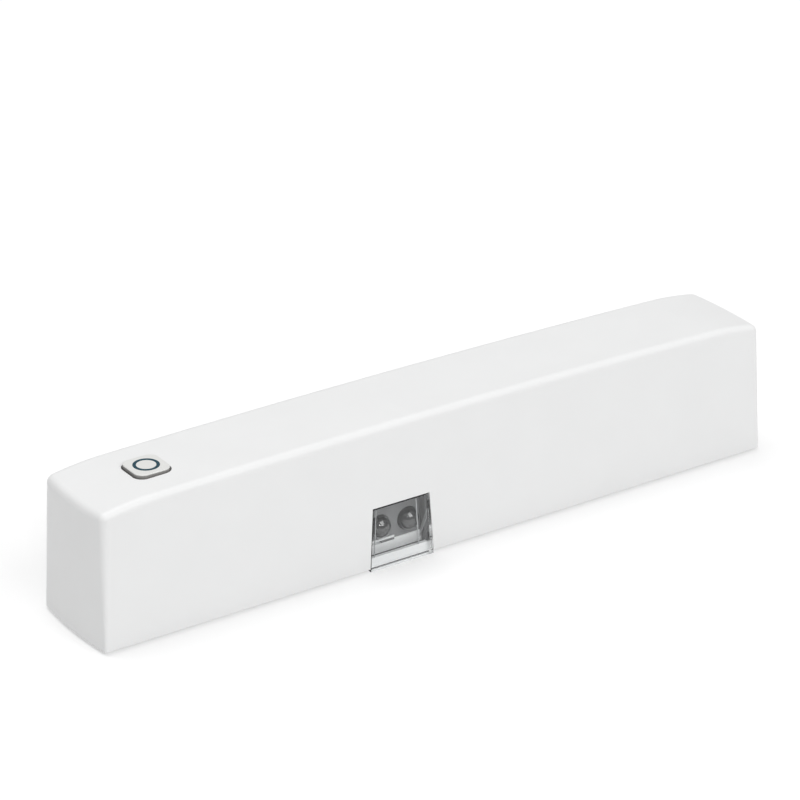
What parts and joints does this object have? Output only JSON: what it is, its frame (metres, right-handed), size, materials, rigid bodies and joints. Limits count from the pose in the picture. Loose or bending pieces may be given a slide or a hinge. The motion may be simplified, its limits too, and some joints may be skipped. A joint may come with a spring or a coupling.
{
  "type": "door contact sensor",
  "caption": "Slim white slip-on cap over a battery-powered infrared door and window contact, with a clear sensor window in the front face and a push button on top.",
  "frame": {"origin": "centre of the mounting face that rests on the door or window frame", "axes": "+X along the case from the button end to the battery end, -Y towards the front with the sensor window, +Z away from the mounting face"},
  "size_m": [0.1, 0.015, 0.0191],
  "materials": {
    "cap_white": "fine satin, moulded ABS",
    "base_white": "satin, moulded ABS",
    "button_white": "satin",
    "pane_clear": "clear, polished",
    "baffle_grey": "fine matt, dark grey",
    "lamp_dark": "near-black tinted epoxy",
    "tinned": "tin-plated",
    "contact_nickel": "nickel-plated spring steel",
    "board_green": "solder resist over copper",
    "radio_board_blue": "solder resist over copper",
    "chip_black": "moulded epoxy",
    "shield_tin": "tin-plated sheet",
    "crystal_can": "satin metal lid",
    "coil_copper": "bare copper wire",
    "ferrite": "dark ferrite",
    "tantalum": "amber epoxy with a stripe",
    "ceramic_tan": "ceramic body with tin ends",
    "resistor_black": "ceramic chip with tin ends",
    "led_white": "white package, clear resin",
    "switch_black": "moulded",
    "plunger_plastic": "moulded",
    "screw_zinc": "zinc-plated",
    "cell_sleeve": null,
    "cell_steel": "nickel-plated"
  },
  "bodies": {
    "unit": {"base_housing": "base_white", "sensor_window": "pane_clear", "sensor_holder": "baffle_grey", "ir_emitter": "lamp_dark", "ir_receiver": "lamp_dark", "sensor_leads": "tinned", "main_board": "board_green", "microcontroller": "chip_black", "microcontroller_leads": "tinned", "ceramic_capacitors": "ceramic_tan", "resistors": "resistor_black", "radio_board": "radio_board_blue", "radio_chip": "chip_black", "radio_shield": "shield_tin", "antenna_coil": "coil_copper", "boost_inductor": "ferrite", "boost_converter": "chip_black", "tank_capacitor": "tantalum", "crystal": "crystal_can", "status_led": "led_white", "board_screw": "screw_zinc", "tact_switch_body": "switch_black", "tact_switch_plate": "tinned", "button_bridge": "base_white", "tamper_switch_body": "switch_black", "battery_cell": "cell_sleeve", "battery_terminal": "cell_steel", "battery_contact_positive": "contact_nickel", "battery_contact_negative": "contact_nickel", "battery_spring": "contact_nickel"},
    "cap": {"cap": "cap_white"},
    "button": {"button": "button_white", "tact_switch_plunger": "plunger_plastic"},
    "tamper_plunger": {"tamper_plunger": "plunger_plastic"}
  },
  "joints": [
    {"name": "cap_lift", "type": "slide", "parent": "unit", "child": "cap", "axis": [0, 0, 1], "range_m": [0, 0.025]},
    {"name": "button_press", "type": "slide", "parent": "unit", "child": "button", "axis": [0, 0, -1], "range_m": [0, 0.00035], "stiffness_N_per_m": 1500, "springref_m": -0.0002},
    {"name": "tamper_rise", "type": "slide", "parent": "unit", "child": "tamper_plunger", "axis": [0, 0, 1], "range_m": [0, 0.0008]}
  ],
  "couplings": [
    {"joint": "tamper_rise", "follows": "cap_lift", "ratio": 0.032}
  ]
}
